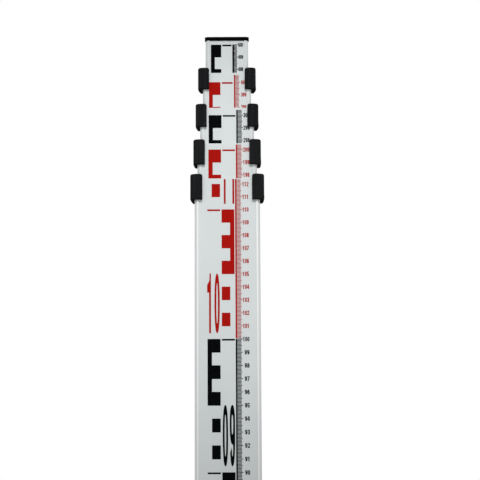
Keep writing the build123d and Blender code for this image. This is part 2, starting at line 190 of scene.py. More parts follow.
class SurfaceBench(NodeBench):
    """Builds a material on object coordinates."""

    def __init__(self, name: str) -> None:
        """Starts a material with one principled shader.

        Args:
            name: The material's name.
        """
        self.material = bpy.data.materials.new(name)
        self.material.use_nodes = True
        super().__init__(self.material.node_tree)
        self.shader = self.tree.nodes["Principled BSDF"]
        self.place = self.add("ShaderNodeTexCoord", output="Object")

    def axis(self, which: int) -> Flow:
        """One of the three object coordinates."""
        return self.add("ShaderNodeSeparateXYZ", inputs={0: self.place}, output=which)

    def noise(self, grain: "Grain") -> Flow:
        """A grain's noise, from 0 to 1."""
        spread = self.add("ShaderNodeVectorMath", {"operation": "MULTIPLY"}, {0: self.place, 1: grain.waves})
        return self.add("ShaderNodeTexNoise", inputs={"Vector": spread, "Scale": 1.0, "Detail": grain.detail})

    def ramp(self, value: Flow, low: float, high: float) -> Flow:
        """0 at low, 1 at high and smooth between them."""
        return self.add(
            "ShaderNodeMapRange",
            {"interpolation_type": "SMOOTHSTEP"},
            {"Value": value, "From Min": low, "From Max": high},
        )

    def blend(self, first: Any, second: Any, mask: Flow) -> Flow:
        """The first colour where the mask is 0 and the second where it is 1."""
        ends = [(*end, 1.0) if isinstance(end, tuple) else end for end in (first, second)]
        return self.add("ShaderNodeMix", {"data_type": "RGBA"}, {0: mask, 6: ends[0], 7: ends[1]}, output=2)

    def bump(self, height: Flow, depth: float, strength: float) -> Flow:
        """A normal from heights of 0 to 1, where 1 means the depth, in metres."""
        return self.add(
            "ShaderNodeBump", inputs={"Strength": strength, "Distance": depth, "Height": height}
        )

    def dress(self, **sockets: Any) -> Material:
        """Feeds the shader's sockets.

        Args:
            sockets: Values or flows by the socket's name, with _ for each space.

        Returns:
            The finished material.
        """
        for name, value in sockets.items():
            self.feed(self.shader.inputs[name.replace("_", " ")], value)
        return self.material


@dataclass(frozen=True)
class Grain:
    """One noise in a surface: its waves to the metre, where it shows in patches, and what it changes."""

    waves: Triple
    detail: float = 2.0
    limits: Pair = (0.0, 1.0)
    tint: float = 0.0
    roughness: float = 0.0
    patch_roughness: float = 0.0
    relief: float = 0.0
    depth: float = 0.0


@dataclass(frozen=True)
class LacqueredAluminium:
    """White lacquer on a drawn section: rail crowns lightened by a painted highlight, bare metal in the bore
    and at the cut ends.
    """

    name: str
    half_width: float
    half_depth: float
    low: float
    high: float
    crown_highlight_share: float
    face: Colour = (0.775, 0.815, 0.815)
    shade: Colour = (0.735, 0.775, 0.775)
    # Painted highlight: this lighter colour on the rail crowns stands in for the lamp's glint
    crown: Colour = (0.985, 0.99, 0.985)
    speck: Colour = (0.62, 0.64, 0.63)
    metal: Colour = (0.72, 0.73, 0.74)
    wall: float = 0.7 * MM
    crown_foot: float = 0.15 * MM
    crown_top: float = 0.06 * MM
    cut: float = 0.06 * MM
    roughness: float = 0.36
    crown_polish: float = 0.08
    gloss: float = 0.3
    relief: float = 0.35
    relief_depth: float = 0.02 * MM
    clouds: Grain = Grain((30.0, 30.0, 9.0), limits=(0.3, 0.7), relief=0.3)
    lines: Grain = Grain((2600.0, 2600.0, 14.0), roughness=0.16, relief=0.7)
    specks: Grain = Grain(
        (900.0, 900.0, 900.0), detail=3.0, limits=(0.66, 0.78), tint=0.25, patch_roughness=0.1
    )

    def material(self) -> Material:
        """Builds the finish.

        Returns:
            The finish as a material.
        """
        bench = SurfaceBench(self.name)
        across = abs(bench.axis(0))
        through = abs(bench.axis(1))
        along = bench.axis(2)
        clouds = bench.noise(self.clouds)
        lines = bench.noise(self.lines)
        specks = bench.ramp(bench.noise(self.specks), *self.specks.limits)
        # The rail crowns, which get the painted highlight and a smoother polish
        crown = bench.ramp(through, self.half_depth - self.crown_foot, self.half_depth - self.crown_top)
        inside = (across < self.half_width - self.wall) * (through < self.half_depth - 2.0 * self.wall)
        ends = (along > self.high - self.cut) + (along < self.low + self.cut)
        bare = inside.at_least(ends)
        lacquer = bench.blend(self.shade, self.face, bench.ramp(clouds, *self.clouds.limits))
        # Paints the highlight of the lamp onto the rail crowns, as strong as the section's share
        lacquer = bench.blend(lacquer, self.crown, crown * self.crown_highlight_share)
        lacquer = bench.blend(lacquer, self.speck, specks * self.specks.tint)
        wear = self.roughness + lines * self.lines.roughness + specks * self.specks.patch_roughness
        relief = lines * self.lines.relief + clouds * self.clouds.relief
        return bench.dress(
            Base_Color=bench.blend(lacquer, self.metal, bare),
            Metallic=bare,
            Roughness=wear - crown * self.crown_polish,
            Specular_IOR_Level=self.gloss,
            Normal=bench.bump(relief, self.relief_depth, self.relief),
        )


@dataclass(frozen=True)
class GrainedFinish:
    """A finish in two tones, mottled by its grains: moulded plastic, bare metal or printed ink."""

    name: str
    colour: Colour
    second: Colour
    roughness: float
    grains: tuple[Grain, ...]
    gloss: float = 0.0
    metallic: float = 0.0

    def material(self) -> Material:
        """Builds the finish.

        Returns:
            The finish as a material.
        """
        bench = SurfaceBench(self.name)
        tint: Any = 0.0
        roughness: Any = self.roughness
        for grain in self.grains:
            noise = bench.noise(grain)
            if grain.relief:
                bench.dress(Normal=bench.bump(noise, grain.depth, grain.relief))
            if grain.roughness:
                roughness = noise * grain.roughness + roughness
            if grain.tint:
                patches = bench.ramp(noise, *grain.limits)
                tint = patches * grain.tint + tint
                roughness = patches * grain.patch_roughness + roughness
        return bench.dress(
            Base_Color=bench.blend(self.colour, self.second, tint),
            Metallic=self.metallic,
            Roughness=roughness,
            Specular_IOR_Level=self.gloss,
        )


# Print: a slight mottle and pinholes
INK_GRAINS = (
    Grain(
        (700.0, 700.0, 700.0), detail=3.0, limits=(0.3, 0.8), tint=0.8, roughness=0.15, relief=0.2,
        depth=0.01 * MM,
    ),
    Grain((3000.0, 3000.0, 3000.0), limits=(0.72, 0.8), tint=0.2),
)
# Moulded plastic: a fine spark-eroded texture, flow marks and scuffs
PLASTIC_GRAINS = (
    Grain((2400.0, 2400.0, 2400.0), detail=3.0, relief=0.4, depth=0.04 * MM),
    Grain((450.0, 450.0, 25.0), limits=(0.35, 0.75), tint=0.6, roughness=0.12),
    Grain((1500.0, 700.0, 220.0), detail=4.0, limits=(0.6, 0.8), tint=0.4, patch_roughness=0.1),
)
# Bare metal: fine turning marks and a dull film in places
METAL_GRAINS = (
    Grain((5200.0, 5200.0, 900.0), detail=3.0, roughness=0.1, relief=0.3, depth=0.01 * MM),
    Grain((420.0, 420.0, 420.0), limits=(0.4, 0.75), tint=1.0, patch_roughness=0.18),
)


class Ink(Enum):
    """The two inks of the scale, which change at each metre."""

    BLACK = GrainedFinish(
        "black_print_ink", (0.0026, 0.0032, 0.0036), (0.005, 0.0057, 0.0062), 0.5, INK_GRAINS
    )
    RED = GrainedFinish("red_print_ink", (0.44, 0.0085, 0.0055), (0.41, 0.0115, 0.0085), 0.5, INK_GRAINS)


class Finish(Enum):
    """The finishes of the pieces that aren't sections."""

    BLACK_PLASTIC = GrainedFinish(
        "black_moulded_plastic", (0.0125, 0.013, 0.0137), (0.023, 0.0238, 0.0248), 0.46, PLASTIC_GRAINS
    )
    CAP_PLASTIC = GrainedFinish(
        "black_cap_plastic", (0.0037, 0.0045, 0.0045), (0.0078, 0.0087, 0.0087), 0.5, PLASTIC_GRAINS
    )
    GUIDE_PLASTIC = GrainedFinish(
        "guide_shoe_plastic", (0.02, 0.021, 0.022), (0.032, 0.033, 0.034), 0.4, PLASTIC_GRAINS, gloss=0.3
    )
    STEEL = GrainedFinish(
        "spring_steel", (0.62, 0.63, 0.64), (0.48, 0.48, 0.49), 0.22, METAL_GRAINS, gloss=0.5, metallic=1.0
    )
    RIVET_ALUMINIUM = GrainedFinish(
        "rivet_aluminium", (0.64, 0.65, 0.66), (0.5, 0.51, 0.52), 0.34, METAL_GRAINS, gloss=0.5, metallic=1.0
    )


@dataclass(frozen=True)
class DigitForms:
    """The ten digits in a cell one wide and one high, their bows superellipses of so many steps a turn."""

    stem: float
    bar: float
    steps: int
    fullness: float = 2.4
    least_counter: Pair = (0.11, 0.085)
    weld: float = 0.002

    def bow(self, centre: Pair, reach: Pair, start: float, end: float) -> Loop:
        """Points on a superellipse.

        Args:
            centre: Its middle.
            reach: Its half width and half height.
            start: The first point's angle in degrees, from +X towards +Z.
            end: The last point's angle.

        Returns:
            The points.
        """
        count = max(2, round(abs(end - start) / 360 * self.steps))
        power = 2 / self.fullness
        points: Loop = []
        for i in range(count + 1):
            turn = math.radians(start + (end - start) * i / count)
            cosine = math.copysign(abs(math.cos(turn)) ** power, math.cos(turn))
            sine = math.copysign(abs(math.sin(turn)) ** power, math.sin(turn))
            points.append((centre[0] + reach[0] * cosine, centre[1] + reach[1] * sine))
        return points

    def ring(self, centre: Pair, reach: Pair) -> Loop:
        """A closed superellipse, without its doubled last point."""
        return self.bow(centre, reach, 0, 360)[:-1]

    def inner(self, reach: Pair) -> Pair:
        """The reach of a bow's inner edge, which a heavy pen doesn't close."""
        wide, high = self.least_counter
        return max(reach[0] - self.stem, wide), max(reach[1] - self.bar, high)

    def outside(self, loop: Loop, centre: Pair, reach: Pair) -> Loop:
        """The points of a loop that lie outside a superellipse."""
        return [
            (x, z) for x, z in loop
            if abs((x - centre[0]) / reach[0]) ** self.fullness
            + abs((z - centre[1]) / reach[1]) ** self.fullness > 1
        ]

    def outlines(self) -> list[list[Loop]]:
        """Draws the ten digits.

        Returns:
            The loops of each digit, from 0 to 9.
        """
        stem, bar, bow, ring, inner = self.stem, self.bar, self.bow, self.ring, self.inner
        body, body_reach = (0.5, 0.5), (0.5, 0.5)
        zero = [ring(body, body_reach), ring(body, inner(body_reach))]

        left, right = 0.5 - stem / 2, 0.5 + stem / 2
        flag = left - 0.36
        one = [[
            (right, 0), (right, 1), (left + 0.1, 1), (left + 0.06, 0.88), (flag, 0.805), (flag, 0.68),
            (left, 0.68), (left, 0),
        ]]

        top, reach = (0.5, 0.7), (0.5, 0.3)
        leg = [(0.96, 0.57), (0.46, bar), (1, bar), (1, 0), (0, 0), (0, 0.12), (0.62, 0.59)]
        two = [bow(top, reach, 180, 0) + leg + bow(top, inner(reach), 0, 180)]

        top, reach = (0.5, 0.725), (0.48, 0.275)
        low, low_reach = (0.5, 0.29), (0.5, 0.29)
        loop = bow(top, reach, 180, -45) + bow(low, low_reach, 45, -180)
        waist = [(0.38, 0.58 - bar), (0.38, 0.45 + bar)]
        back = bow(low, inner(low_reach), -180, 90) + waist + bow(top, inner(reach), -90, 180)
        three = [loop + back]

        left, right, under = 0.86 - stem, 0.86, 0.21
        over = under + bar
        loop = [
            (left, 0), (right, 0), (right, under), (1, under), (1, over), (right, over), (right, 1),
            (left - 0.04, 1), (0, over + 0.02), (0, under), (left, under),
        ]
        four = [loop, [(left, over), (left, 0.72), (0.25, over)]]

        low, reach = (0.5, 0.315), (0.5, 0.315)
        roof = [(0.06, 1), (0.94, 1), (0.94, 1 - bar), (0.4, 1 - bar)]
        five = [roof + bow(low, reach, 100, -180) + bow(low, inner(reach), -180, 125) + [(0.03, 0.44)]]

        seven = [[(0, 1), (1, 1), (1, 0.86), (0.5, 0), (0.5 - stem, 0), (0.62, 1 - bar), (0, 1 - bar)]]

        top, reach = (0.5, 0.74), (0.47, 0.26)
        low, low_reach = (0.5, 0.28), (0.5, 0.28)
        loop = bow(top, reach, -45, 225) + bow(low, low_reach, 135, 405)
        eight = [loop, ring(top, inner(reach)), ring(low, inner(low_reach))]

        top, reach = (0.5, 0.6775), (0.5, 0.3225)
        loop = bow(top, reach, 180, 0) + bow(body, body_reach, 0, -150)
        tail = self.outside(bow(body, inner(body_reach), -150, -15), top, reach)
        belly = [point for point in bow(top, reach, -72, -180)[:-1] if point[0] < tail[-1][0]]
        nine = [loop + tail + belly, ring(top, inner(reach))]
        six = [[(1 - x, 1 - z) for x, z in loop] for loop in nine]
        return [zero, one, two, three, four, five, six, seven, eight, nine]

    def mesh(self, loops: list[Loop], name: str) -> bpy.types.Mesh:
        """Makes one digit a closed slab, one thick and centred on its cell.

        Args:
            loops: The digit's loops.
            name: The mesh's name.

        Returns:
            The slab's mesh.
        """
        form = bmesh.new()
        for loop in loops:
            points = [form.verts.new((x - 0.5, 0.5, z - 0.5)) for x, z in loop]
            for i, point in enumerate(points):
                form.edges.new((points[i - 1], point))
        bmesh.ops.remove_doubles(form, verts=form.verts[:], dist=self.weld)
        bmesh.ops.triangle_fill(form, use_beauty=True, edges=form.edges[:], normal=(0, -1, 0))
        front = bmesh.ops.extrude_face_region(form, geom=form.faces[:], use_keep_orig=True)
        moved = [part for part in front["geom"] if isinstance(part, bmesh.types.BMVert)]
        bmesh.ops.translate(form, verts=moved, vec=(0, -1, 0))
        bmesh.ops.recalc_face_normals(form, faces=form.faces[:])
        return mesh_of(form, name)

    def collection(self, name: str) -> bpy.types.Collection:
        """The ten digits in order, in a collection that no scene shows."""
        meshes = [self.mesh(loops, f"digit_{digit}") for digit, loops in enumerate(self.outlines())]
        return group_of(name, [bpy.data.objects.new(f"{name}_{i}", mesh) for i, mesh in enumerate(meshes)])


class ShapeTree(NodeBench):
    """A geometry tree with named sizes, which adds its shapes to what comes in."""

    NAME = "shapes"
    COUNTS: tuple[str, ...] = ()
    SIZES: tuple[str, ...] = ()
    COMMON = ("First Height", "Face", "Thickness")

    def __init__(self) -> None:
        """Makes the tree, its inputs and its nodes."""
        super().__init__(bpy.data.node_groups.new(self.NAME, "GeometryNodeTree"))
        self.tree.is_modifier = True
        self.names: dict[str, str] = {}
        self.socket("Geometry", "NodeSocketGeometry")
        for name in self.COUNTS:
            self.socket(name, "NodeSocketInt")
        for name in self.COMMON + self.SIZES:
            self.socket(name, "NodeSocketFloat")
        self.socket("Finish", "NodeSocketMaterial")
        self.socket("Forms", "NodeSocketCollection")
        self.tree.interface.new_socket(name="Geometry", in_out="OUTPUT", socket_type="NodeSocketGeometry")
        self.entry = self.tree.nodes.new("NodeGroupInput")
        self.finish(self.shapes())

    def socket(self, name: str, kind: str) -> None:
        """Adds one named input of a kind."""
        made = self.tree.interface.new_socket(name=name, in_out="INPUT", socket_type=kind)
        self.names[name] = made.identifier

    def size(self, name: str) -> Flow:
        """One of the tree's inputs."""
        return Flow(self, self.entry.outputs[name])

    def sizes(self) -> list[Flow]:
        """The tree's own sizes, in order."""
        return [self.size(name) for name in self.SIZES]

    def shapes(self) -> list[Flow]:
        """The tree's own shapes."""
        raise NotImplementedError

    def finish(self, shapes: list[Flow]) -> None:
        """Joins the shapes to what comes in, realizes them and gives them their finish.

        Args:
            shapes: The tree's own shapes.
        """
        everything = self.add("GeometryNodeJoinGeometry", inputs={0: [self.size("Geometry"), *shapes]})
        solid = self.add("GeometryNodeRealizeInstances", inputs={"Geometry": everything})
        finish = {"Geometry": solid, "Material": self.size("Finish")}
        self.add("NodeGroupOutput", inputs={0: self.add("GeometryNodeSetMaterial", inputs=finish)})

    def column(self, count: Any, x: Any, first: Any, spacing: Any) -> Flow:
        """Points one above the other, from a first height and at one place across the face."""
        return self.add(
            "GeometryNodeMeshLine",
            {"mode": "OFFSET", "count_mode": "TOTAL"},
            {
                "Count": count,
                "Start Location": self.vector(x, self.size("Face"), first),
                "Offset": self.vector(0.0, 0.0, spacing),
            },
        )

    def index(self) -> Flow:
        """Each point's number in its column."""
        return self.add("GeometryNodeInputIndex")

    def shifted(self, points: Flow, x: Flow) -> Flow:
        """The points moved across the face."""
        return self.add(
            "GeometryNodeSetPosition", inputs={"Geometry": points, "Offset": self.vector(x, 0.0, 0.0)}
        )

    def instances(self, points: Flow, instance: Flow, **inputs: Any) -> Flow:
        """An instance on each point, with the node's other inputs by name, with _ for each space."""
        values = {name.replace("_", " "): value for name, value in inputs.items()}
        return self.add(
            "GeometryNodeInstanceOnPoints", inputs={"Points": points, "Instance": instance, **values}
        )

    def blocks(self, points: Flow, width: Any, height: Any) -> Flow:
        """A block of a width and a height centred on each point."""
        block = self.add("GeometryNodeMeshCube", inputs={"Size": (1.0, 1.0, 1.0)})
        return self.instances(points, block, Scale=self.vector(width, self.size("Thickness"), height))

    def bars(self, points: Flow, start: Flow, end: Flow, height: Any) -> Flow:
        """A block at the height of each point, from one place across the face to another."""
        return self.blocks(self.shifted(points, (start + end) / 2.0), end - start, height)

    def forms(self, separate: bool) -> Flow:
        """The forms to repeat, together or to be picked one by one."""
        return self.add(
            "GeometryNodeCollectionInfo",
            {"transform_space": "ORIGINAL"},
            {"Collection": self.size("Forms"), "Separate Children": separate, "Reset Children": True},
        )

    def put_on(self, piece: Piece, values: Mapping[str, Any]) -> None:
        """Adds the tree to a piece as a modifier.

        Args:
            piece: The piece.
            values: The inputs' values by name.
        """
        modifier = piece.modifiers.new(self.NAME, "NODES")
        modifier.node_group = self.tree
        for name, value in values.items():
            modifier[self.names[name]] = value


class RulerTree(ShapeTree):
    """The ruler: an upright line with a tick at each millimetre."""

    NAME = "ruler"
    COUNTS = ("First Millimetre", "Ticks")
    SIZES = ("Line Start", "Line End", "Millimetre", "Half Centimetre", "Centimetre", "Tick Height")
    HALF = 5.0
    WHOLE = 10.0

    def shapes(self) -> list[Flow]:
        """Draws the ruler.

        Returns:
            The ticks and the line.
        """
        start, end, short, middle, long, tick = self.sizes()
        first, count = self.size("First Height"), self.size("Ticks")
        reading = self.index() + self.size("First Millimetre")
        is_half = (reading % self.HALF) < 0.5
        is_whole = (reading % self.WHOLE) < 0.5
        length = short + is_half * (middle - short) + is_whole * (long - middle)
        points = self.column(count, end, first, MM)
        ticks = self.blocks(self.shifted(points, length / 2.0), length, tick)
        steps = count - 1.0
        centre = self.column(1, (start + end) / 2.0, first + steps * (MM / 2), 0.0)
        return [ticks, self.blocks(centre, end - start, steps * MM + tick)]


class CombTree(ShapeTree):
    """The comb of each decimetre: five teeth, a spine beside the upper three, a line in the other field."""

    NAME = "comb"
    COUNTS = ("First Decimetre", "Decimetres")
    SIZES = ("Left Start", "Left End", "Right Start", "Right End", "Spine", "Top Line", "Ink Spread")
    TEETH = 5.0
    FIRST_TOOTH = 1.5 * CM
    TOOTH_STEP = 2 * CM
    SPINE_CENTRE = 7.5 * CM
    SPINE_LENGTH = 5 * CM

    def odd(self, decimetre: Flow) -> Flow:
        """1 for an odd decimetre, whose comb is in the left field, else 0."""
        return math.floor(decimetre + self.size("First Decimetre")) % 2.0

    def pick(self, odd: Flow, when_odd: Flow, when_even: Flow) -> Flow:
        """One flow for odd decimetres and another for even ones."""
        return when_even + odd * (when_odd - when_even)

    def shapes(self) -> list[Flow]:
        """Draws the combs.

        Returns:
            The teeth, the spines and the top lines.
        """
        left, left_end, right, right_end, spine, top_line, spread = self.sizes()
        first, count = self.size("First Height"), self.size("Decimetres")

        odd = self.odd(math.floor(self.index() / self.TEETH))
        tooth = self.pick(odd, left + spine, right)
        tooth_end = self.pick(odd, left_end, right_end - spine)
        points = self.column(count * self.TEETH, 0.0, first + self.FIRST_TOOTH, self.TOOTH_STEP)
        teeth = self.bars(points, tooth, tooth_end, spread * 2.0 + CM)

        odd = self.odd(self.index())
        spine_x = self.pick(odd, left + spine / 2.0, right_end - spine / 2.0)
        points = self.column(count, 0.0, first + self.SPINE_CENTRE, DECIMETRE)
        spines = self.blocks(self.shifted(points, spine_x), spine, spread * 2.0 + self.SPINE_LENGTH)

        line, line_end = self.pick(odd, right, left), self.pick(odd, right_end, left_end)
        points = self.column(count, 0.0, first + DECIMETRE + spread - top_line / 2.0, DECIMETRE)
        return [teeth, spines, self.bars(points, line, line_end, top_line)]


class NumberTree(ShapeTree):
    """Numbers one above the other and flush at the right, each digit picked from a set of forms."""

    NAME = "numbers"
    COUNTS = ("First Number", "Numbers", "Least Digits")
    SIZES = (
        "Spacing", "Odd Right", "Even Right", "Odd Advance", "Even Advance", "Digit Width", "Digit Height",
        "Widening",
    )
    PLACES = (1.0, 10.0, 100.0)
    ONE_DIGIT = 9.5
    TWO_DIGITS = 99.5

    def shapes(self) -> list[Flow]:
        """Draws the numbers.

        Returns:
            The ones, the tens and the hundreds.
        """
        spacing, odd_right, right, odd_advance, advance, digit_width, height, widening = self.sizes()
        first, count = self.size("First Height"), self.size("Numbers")
        number = self.index() + self.size("First Number")
        odd = number % 2.0
        right = right + odd * (odd_right - right)
        advance = advance + odd * (odd_advance - advance)
        breadth = 1.0 + (number < self.TWO_DIGITS) * (widening - 1.0)
        width = digit_width * breadth
        digits = 1.0 + (number > self.ONE_DIGIT) + (number > self.TWO_DIGITS)
        digits = digits.at_least(self.size("Least Digits"))
        forms = self.forms(separate=True)
        scale = self.vector(width, self.size("Thickness"), height)
        columns = []
        for place, worth in enumerate(self.PLACES):
            x = right - width / 2.0 - advance * breadth * float(place)
            columns.append(self.instances(
                self.shifted(self.column(count, 0.0, first, spacing), x),
                forms,
                Selection=digits > place + 0.5,
                Pick_Instance=True,
                Instance_Index=math.floor(number / worth) % 10.0,
                Scale=scale,
            ))
        return columns


class RivetTree(ShapeTree):
    """A column of rivets on the right and one on the left, their heads outwards."""

    NAME = "rivets"
    COUNTS = ("Rivets",)
    SIZES = ("Seat", "Spacing")

    def shapes(self) -> list[Flow]:
        """Sets the rivets.

        Returns:
            The right-hand and the left-hand rivets.
        """
        form = self.forms(separate=False)
        seat, spacing = self.sizes()
        columns = []
        for outwards, turn in ((1.0, 0.0), (-1.0, math.pi)):
            points = self.column(self.size("Rivets"), seat * outwards, self.size("First Height"), spacing)
            columns.append(self.instances(points, form, Rotation=(0.0, 0.0, turn)))
        return columns


@dataclass(frozen=True)
class ScaleLayout:
    """Where the print stands across a section's face, in millimetres from the middle."""

    left: Pair = (-15.5, -5.6)
    right: Pair = (-4.5, 5.4)
    spine: float = 3.35
    line: Pair = (6.03, 7.15)
    millimetre_end: float = 10.35
    half_end: float = 10.8
    centimetre_end: float = 11.3
    number_right: float = 16.5
    number_advance: float = 1.69
    number_size: Pair = (1.55, 3.5)
    number_widening: float = 1.17
    numeral_size: Pair = (4.05, 45.8)
    numeral_foot: float = 0.455
    numeral_advance: float = 5.4
    top_line: float = 1.3
    ink_spread: float = 0.17
    shift: float = 0.0

    def place(self, x: float) -> float:
        """A place across the face in metres, with the print's shift."""
        return (x + self.shift) * MM


LAYOUTS = {
    1: ScaleLayout(),
    2: ScaleLayout(shift=0.8),
    3: ScaleLayout(left=(-15.7, -5.6), shift=1.2),
    4: ScaleLayout(
        left=(-14.25, -5.2), right=(-4.1, 4.5), spine=3.0, line=(5.55, 6.5), millimetre_end=9.4,
        half_end=9.8, centimetre_end=10.3, number_right=15.35, number_advance=1.45, number_size=(1.38, 3.3),
        numeral_size=(3.4, 45.8), numeral_advance=4.7,
    ),
    5: ScaleLayout(
        left=(-12.75, -4.5), right=(-3.7, 3.65), spine=3.1, line=(4.38, 5.75), millimetre_end=7.95,
        half_end=8.3, centimetre_end=8.7, number_right=12.95, number_advance=1.3, number_size=(1.33, 3.2),
        numeral_size=(3.0, 45.8), numeral_advance=4.2,
    ),
}


@dataclass(frozen=True)
class PrintRun:
    """One ink's stretch of the scale on one section, readings in centimetres and ticks in millimetres."""

    section: int
    ink: Ink
    first: int
    last: float
    tick: float
    numeral_centres: Pair | None = None
    numeral_advances: Pair | None = None
    room_above: float = 0.0

    @property
    def decimetres(self) -> int:
        """How many decimetres it has, a started one counted where it is over a centimetre long."""
        return math.ceil((self.last - self.first - 1) / 10)


RUNS = (
    PrintRun(1, Ink.BLACK, 0, 100.0, 0.6, (0.58, -10.6), (5.3, 5.3), room_above=0.3),
    PrintRun(1, Ink.RED, 100, 112.4, 0.5, (1.36, -10.83), (6.64, 5.43)),
    PrintRun(2, Ink.RED, 110, 200.4, 0.53),
    PrintRun(3, Ink.BLACK, 200, 300.45, 0.57),
    PrintRun(4, Ink.RED, 300, 400.6, 0.5),
    PrintRun(5, Ink.BLACK, 400, 500.02, 0.65, room_above=0.18),
)


@dataclass
class StaffSection:
    """One sliding section: its tube's finish and the scale printed on its face."""

    number: int
    scale_top: float
    # How strongly the rail crowns get their painted highlight
    crown_highlight_share: float
    rail_rise: float = 0.5 * MM
    print_thickness: float = 0.1 * MM
    print_bite: float = 0.035 * MM

    def __post_init__(self) -> None:
        """Takes the section's place from the frame."""
        self.node = f"section_{self.number}"
        self.low, self.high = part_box(self.node)

    @property
    def face(self) -> float:
        """The printed face's depth."""
        return self.low.y + self.rail_rise

    def height(self, reading: float) -> float:
        """How high a reading in centimetres stands with the staff closed."""
        return self.high.z - self.scale_top * MM + reading * CM

    def dress(self) -> None:
        """Gives the tube its lacquer."""
        finish = LacqueredAluminium(
            f"lacquered_aluminium_{self.number}",
            half_width=self.high.x,
            half_depth=self.high.y,
            low=self.low.z,
            high=self.high.z,
            crown_highlight_share=self.crown_highlight_share,
        )
        paint(self.node, finish.material())

    def print_scale(self, run: PrintRun, press: "ScalePress") -> Piece:
        """Prints one run of the scale on the face.

        Args:
            run: The run.
            press: The trees and forms that make the print.

        Returns:
            The print as one piece, riding on the section.
        """
        name = f"scale_{self.number}_{run.ink.name.lower()}"
        piece = put_in_scene(name, bpy.data.meshes.new(name))
        common = {
            "Face": self.face - self.print_thickness / 2 + self.print_bite,
            "Thickness": self.print_thickness,
            "Finish": press.inks[run.ink],
        }
        job = PrintJob(press, piece, run, LAYOUTS[self.number], self, common)
        job.rule()
        job.comb()
        job.number()
        job.numeral()
        settle(piece)
        trim(piece, self.low.z, self.height(run.last + run.room_above))
        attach(piece, self.node)
        return piece


class ScalePress:
    """The trees, digit forms and inks that print the scale."""

    def __init__(self) -> None:
        """Builds the trees, the forms and the inks."""
        self.ruler = RulerTree()
        self.combs = CombTree()
        self.numbers = NumberTree()
        self.numeral_forms = DigitForms(stem=0.355, bar=0.16, steps=28).collection("numeral")
        self.number_forms = DigitForms(stem=0.41, bar=0.185, steps=10).collection("number")
        self.inks = {ink: ink.value.material() for ink in Ink}

    def clear(self) -> None:
        """Removes the digit forms, once every run is printed."""
        for group in (self.numeral_forms, self.number_forms):
            discard(group)


@dataclass(frozen=True)
class PrintJob:
    """One run of the scale being printed: its press, piece, layout and section, and what its trees share."""

    press: ScalePress
    piece: Piece
    run: PrintRun
    layout: ScaleLayout
    section: StaffSection
    common: Mapping[str, Any]

    def rule(self) -> None:
        """Adds the millimetre ruler."""
        run, layout = self.run, self.layout
        # The tick where two runs meet belongs to the lower run
        first = run.first * 10 + (0 if run.first == 0 else 1)
        start, end = layout.line
        self.press.ruler.put_on(self.piece, {
            **self.common,
            "First Millimetre": first,
            "Ticks": round(run.last * 10) - first + 1,
            "First Height": self.section.height(first / 10),
            "Line Start": layout.place(start),
            "Line End": layout.place(end),
            "Millimetre": (layout.millimetre_end - end) * MM,
            "Half Centimetre": (layout.half_end - end) * MM,
            "Centimetre": (layout.centimetre_end - end) * MM,
            "Tick Height": run.tick * MM,
        })

    def comb(self) -> None:
        """Adds the combs."""
        run, layout = self.run, self.layout
        self.press.combs.put_on(self.piece, {
            **self.common,
            "First Decimetre": run.first // 10,
            "Decimetres": run.decimetres,
            "First Height": self.section.height(run.first),
            "Left Start": layout.place(layout.left[0]),
            "Left End": layout.place(layout.left[1]),
            "Right Start": layout.place(layout.right[0]),
            "Right End": layout.place(layout.right[1]),
            "Spine": layout.spine * MM,
            "Top Line": layout.top_line * MM,
            "Ink Spread": layout.ink_spread * MM,
        })

    def number(self) -> None:
        """Adds the centimetre numbers."""
        run, layout = self.run, self.layout
        right, advance = layout.place(layout.number_right), layout.number_advance * MM
        self.press.numbers.put_on(self.piece, {
            **self.common,
            "First Number": run.first + 1,
            "Numbers": math.floor(run.last) - run.first,
            "Least Digits": 1,
            "First Height": self.section.height(run.first + 1),
            "Spacing": CM,
            "Odd Right": right,
            "Even Right": right,
            "Odd Advance": advance,
            "Even Advance": advance,
            "Digit Width": layout.number_size[0] * MM,
            "Digit Height": layout.number_size[1] * MM,
            "Widening": layout.number_widening,
            "Forms": self.press.number_forms,
        })

    def numeral(self) -> None:
        """Adds the tall decimetre numerals."""
        run, layout = self.run, self.layout
        width, height = layout.numeral_size
        half = (width + layout.numeral_advance) / 2
        centres = run.numeral_centres or (layout.right[0] + half, layout.left[0] + half)
        advances = run.numeral_advances or (layout.numeral_advance, layout.numeral_advance)
        self.press.numbers.put_on(self.piece, {
            **self.common,
            "First Number": run.first // 10,
            "Numbers": run.decimetres,
            "Least Digits": 2,
            "First Height": self.section.height(run.first + layout.numeral_foot) + height * MM / 2,
            "Spacing": DECIMETRE,
            "Odd Right": layout.place(centres[0] + (advances[0] + width) / 2),
            "Even Right": layout.place(centres[1] + (advances[1] + width) / 2),
            "Odd Advance": advances[0] * MM,
            "Even Advance": advances[1] * MM,
            "Digit Width": width * MM,
            "Digit Height": height * MM,
            "Widening": 1.0,
            "Forms": self.press.numeral_forms,
        })


class Side(Enum):
    """The sides of the staff, seen from the front."""

    LEFT = "left"
    RIGHT = "right"


@dataclass(frozen=True)
class SideCatch:
    """One side catch: housing, rocker, pin and leaf spring."""

    section: int
    side: Side
    pressed_bow: float = 0.42

    @property
    def tail(self) -> str:
        """The end of the names of the catch's pieces."""
        return f"{self.section}_{self.side.value}"

    def dress(self, materials: Mapping[Finish, Material]) -> None:
        """Gives the catch's pieces their finishes.

        Args:
            materials: The materials by finish.
        """
        paint(f"clip_housing_{self.tail}", materials[Finish.BLACK_PLASTIC])
        paint(f"rocker_{self.tail}", materials[Finish.BLACK_PLASTIC])
        paint(f"pivot_pin_{self.tail}", materials[Finish.STEEL])

    def fit_spring(self, steel: Material) -> Piece:
        """Fits a copy of the leaf spring, its doubled points merged, in place of the CAD node.

        Args:
            steel: The spring's material.

        Returns:
            The spring, riding on its section.
        """
        node = f"leaf_spring_{self.tail}"
        spring = merged_copy(node, f"bowed_leaf_{self.tail}", steel)
        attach(spring, f"section_{self.section}")
        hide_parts(node)
        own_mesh(spring)
        return spring


